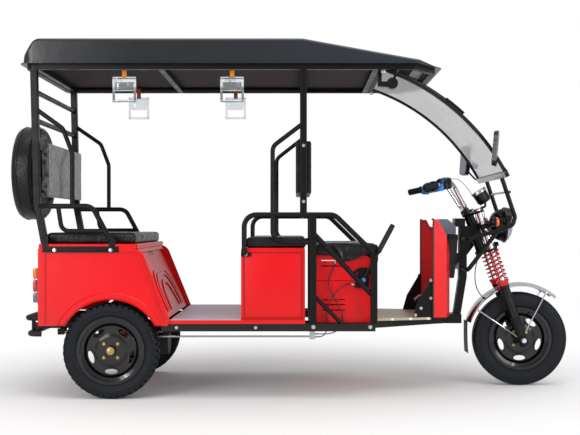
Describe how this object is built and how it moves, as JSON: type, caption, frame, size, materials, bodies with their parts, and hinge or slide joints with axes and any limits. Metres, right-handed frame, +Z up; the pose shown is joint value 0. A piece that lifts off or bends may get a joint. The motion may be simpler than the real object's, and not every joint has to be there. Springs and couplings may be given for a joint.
{
  "type": "electric passenger rickshaw",
  "caption": "Electric three-wheeled passenger rickshaw with a steered front fork, facing benches, driver's seat, tube frame and hard canopy.",
  "frame": {"origin": "on the ground, midway between the front of the front tyre and the back of the spare wheel's cover", "axes": "+X forward along the vehicle, +Y to its left, +Z up"},
  "size_m": [2.8539, 1.007, 1.7349],
  "materials": {
    "body_red": "gloss",
    "frame_black": "satin",
    "roof_black": "gloss",
    "floor_plate": "satin",
    "seat_vinyl": "satin",
    "clear_sheet": "gloss",
    "clear_plastic": "gloss",
    "tyre_rubber": "matte",
    "wheel_black": "gloss",
    "bright_steel": "polished",
    "fork_black": "satin",
    "spring_red": "gloss",
    "dark_plastic": "matte",
    "grey_plastic": "gloss",
    "lamp_red": "gloss",
    "mirror_black": "gloss",
    "axle_iron": "satin",
    "spring_steel": "satin",
    "battery_plastic": "matte"
  },
  "bodies": {
    "vehicle": {"chassis_frame": "frame_black", "sill_strips": "body_red", "floor_rear": "floor_plate", "floor_front": "floor_plate", "rear_side_panel_right": "body_red", "rear_side_panel_left": "body_red", "rear_back_panel": "body_red", "rear_kick_panel": "body_red", "rear_seat_deck": "body_red", "rear_cushion": "seat_vinyl", "battery_box": "body_red", "battery_pack": "battery_plastic", "driver_box": "body_red", "front_cushion": "seat_vinyl", "driver_cushion": "seat_vinyl", "rear_frame": "frame_black", "rear_backrest": "seat_vinyl", "spare_wheel_cover": "seat_vinyl", "rear_bumper": "frame_black", "tail_lamps": "lamp_red", "mid_frame_right": "frame_black", "mid_frame_left": "frame_black", "mid_crossbars": "frame_black", "mid_backrests": "seat_vinyl", "roof_shell": "roof_black", "roof_frame": "frame_black", "hand_grips": "clear_plastic", "windscreen": "clear_sheet", "windscreen_frame": "frame_black", "head_frame": "frame_black", "front_guard": "frame_black", "leg_shield": "body_red", "shield_hump": "grey_plastic", "foot_gussets": "frame_black", "brake_pedal": "frame_black", "parking_brake": "frame_black", "brake_linkage": "bright_steel", "rear_axle": "axle_iron", "leaf_springs": "spring_steel", "wiper": "dark_plastic", "mirrors": "mirror_black", "parking_brake_cable_a": "dark_plastic", "parking_brake_cable_b": "dark_plastic"},
    "steering": {"steering_yokes": "frame_black", "front_fork": "fork_black", "fork_springs": "spring_red", "front_mudguard": "bright_steel", "handlebar": "bright_steel", "handlebar_grips": "dark_plastic", "speedometer": "dark_plastic", "headlamp": "dark_plastic", "horn": "bright_steel", "handlebar_loom": "dark_plastic", "meter_cable": "dark_plastic"},
    "front_wheel": {"front_tyre": "tyre_rubber", "front_rim": "wheel_black"},
    "rear_wheel_right": {"rear_tyre_right": "tyre_rubber", "rear_rim_right": "wheel_black"},
    "rear_wheel_left": {"rear_tyre_left": "tyre_rubber", "rear_rim_left": "wheel_black"}
  },
  "joints": [
    {"name": "steering", "type": "hinge", "parent": "vehicle", "child": "steering", "pos_m": [1.14807, 0, 0.23063], "axis": [-0.3256, 0, 0.9455], "range_deg": [-35, 35]},
    {"name": "front_wheel_spin", "type": "hinge", "parent": "steering", "child": "front_wheel", "pos_m": [1.184, 0, 0.243], "axis": [0, 1, 0], "continuous": true},
    {"name": "rear_wheel_right_spin", "type": "hinge", "parent": "vehicle", "child": "rear_wheel_right", "pos_m": [-0.878, -0.434, 0.231], "axis": [0, 1, 0], "continuous": true},
    {"name": "rear_wheel_left_spin", "type": "hinge", "parent": "vehicle", "child": "rear_wheel_left", "pos_m": [-0.878, 0.434, 0.231], "axis": [0, 1, 0], "continuous": true}
  ]
}
